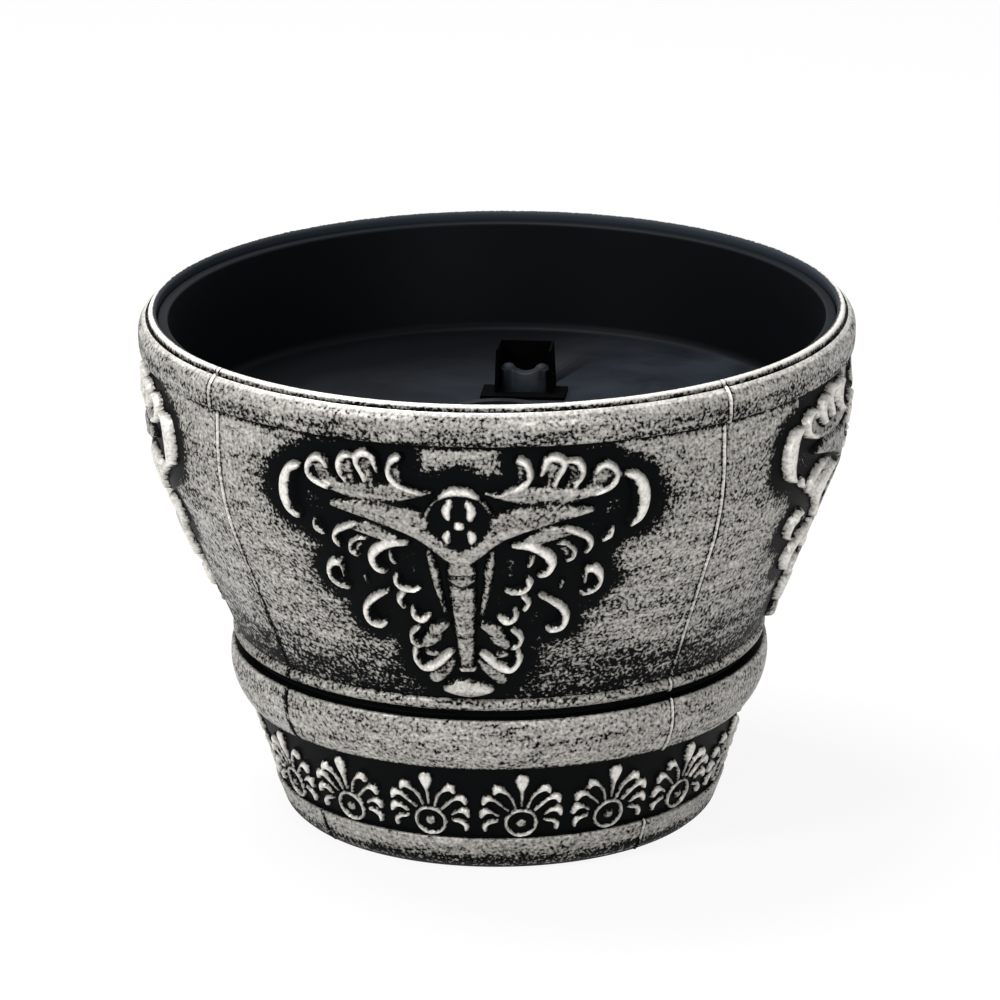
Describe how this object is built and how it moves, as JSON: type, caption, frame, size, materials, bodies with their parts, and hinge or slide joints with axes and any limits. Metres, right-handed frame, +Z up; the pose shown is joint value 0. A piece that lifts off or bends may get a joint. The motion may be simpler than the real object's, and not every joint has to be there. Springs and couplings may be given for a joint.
{
  "type": "plastic planter",
  "caption": "Round bowl planter with rolled rim, relief ornament and palmette foot, and a lift-out planting tray with a water level float over a reservoir.",
  "frame": {"origin": "centre of the foot, on the plane that the pot stands on", "axes": "+Z up along the pot's axis, -Y towards the front ornament, +X to the right"},
  "size_m": [0.4, 0.4, 0.292],
  "materials": {
    "antique_pot": "black plastic with dry-brushed antique silver on the raised surfaces",
    "black_insert": "moulded black polypropylene, satin to glossy",
    "grey_float": "moulded dark grey plastic",
    "seal_rubber": "soft black rubber"
  },
  "bodies": {
    "pot": {"pot_shell": "antique_pot", "pot_foot": "antique_pot", "ornament_front": "antique_pot", "ornament_right": "antique_pot", "ornament_back": "antique_pot", "ornament_left": "antique_pot", "palmette_frieze": "antique_pot"},
    "tray": {"planting_tray": "black_insert", "float_tower": "black_insert"},
    "float": {"level_cap": "grey_float", "float_rod": "grey_float", "float_puck": "grey_float"},
    "basket": {"wick_basket": "black_insert"},
    "plug": {"drain_plug": "black_insert", "drain_seal": "seal_rubber"}
  },
  "joints": [
    {"name": "tray_lift", "type": "slide", "parent": "pot", "child": "tray", "axis": [0, 0, 1], "range_m": [0, 0.27]},
    {"name": "float_rise", "type": "slide", "parent": "tray", "child": "float", "axis": [0, 0, 1], "range_m": [0, 0.014]},
    {"name": "basket_lift", "type": "slide", "parent": "tray", "child": "basket", "axis": [0, 0, 1], "range_m": [0, 0.2]},
    {"name": "plug_lift", "type": "slide", "parent": "pot", "child": "plug", "axis": [0, 0, 1], "range_m": [0, 0.007]}
  ]
}
